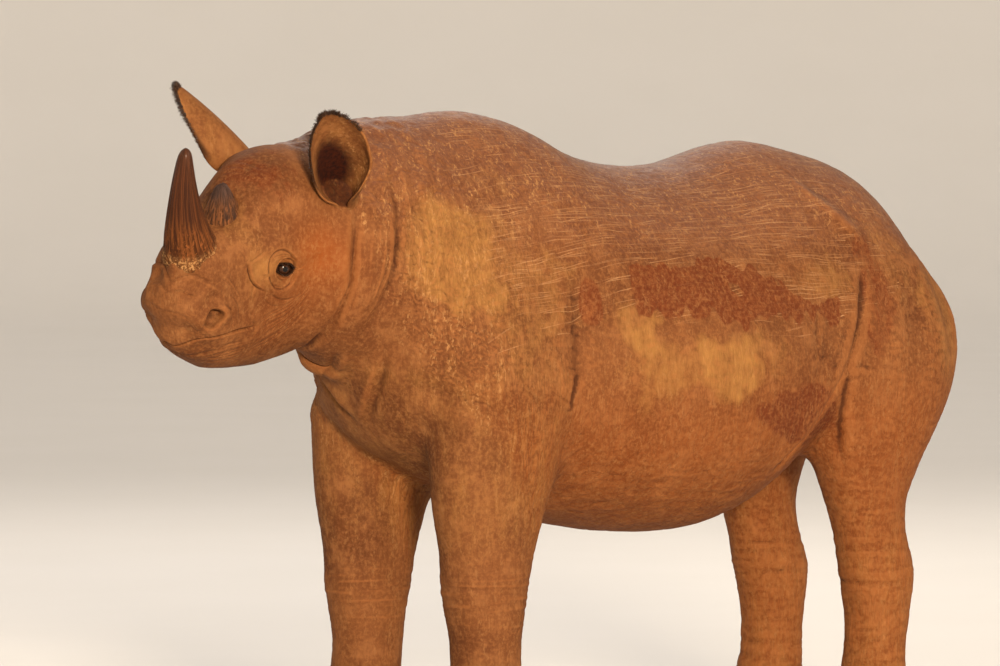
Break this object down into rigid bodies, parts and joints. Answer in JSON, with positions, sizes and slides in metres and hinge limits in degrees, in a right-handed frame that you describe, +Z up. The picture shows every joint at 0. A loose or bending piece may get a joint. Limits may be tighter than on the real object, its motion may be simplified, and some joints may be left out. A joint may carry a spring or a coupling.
{
  "type": "black rhinoceros",
  "caption": "Life-size still model of an adult black rhinoceros standing on four feet, head lowered, turned and tilted to its left.",
  "frame": {"origin": "on the floor, below the middle of the whole model's box", "axes": "+Z up, -Y the way the animal faces, so +Y runs towards the tail, and +X to the animal's left"},
  "size_m": [0.7888, 2.3546, 1.5887],
  "materials": {
    "skin": "matt, dry and finely creased",
    "horn": "satin, fibrous",
    "eye": "wet gloss",
    "toenail": "matt, worn",
    "hair": "coarse dull hair"
  },
  "bodies": {
    "root": {"ear_left": "skin", "ear_right": "skin", "eye_left": "eye", "eye_right": "eye", "foreleg_left_foot": "skin", "foreleg_left_lower": "skin", "foreleg_left_toenail_inner": "toenail", "foreleg_left_toenail_middle": "toenail", "foreleg_left_toenail_outer": "toenail", "foreleg_left_upper": "skin", "foreleg_right_foot": "skin", "foreleg_right_lower": "skin", "foreleg_right_toenail_inner": "toenail", "foreleg_right_toenail_middle": "toenail", "foreleg_right_toenail_outer": "toenail", "foreleg_right_upper": "skin", "head": "skin", "hindleg_left_foot": "skin", "hindleg_left_lower": "skin", "hindleg_left_toenail_inner": "toenail", "hindleg_left_toenail_middle": "toenail", "hindleg_left_toenail_outer": "toenail", "hindleg_left_upper": "skin", "hindleg_right_foot": "skin", "hindleg_right_lower": "skin", "hindleg_right_toenail_inner": "toenail", "hindleg_right_toenail_middle": "toenail", "hindleg_right_toenail_outer": "toenail", "hindleg_right_upper": "skin", "horn_front": "horn", "horn_rear": "horn", "neck": "skin", "tail": "skin", "tail_tuft": "hair", "trunk": "skin"}
  },
  "joints": []
}
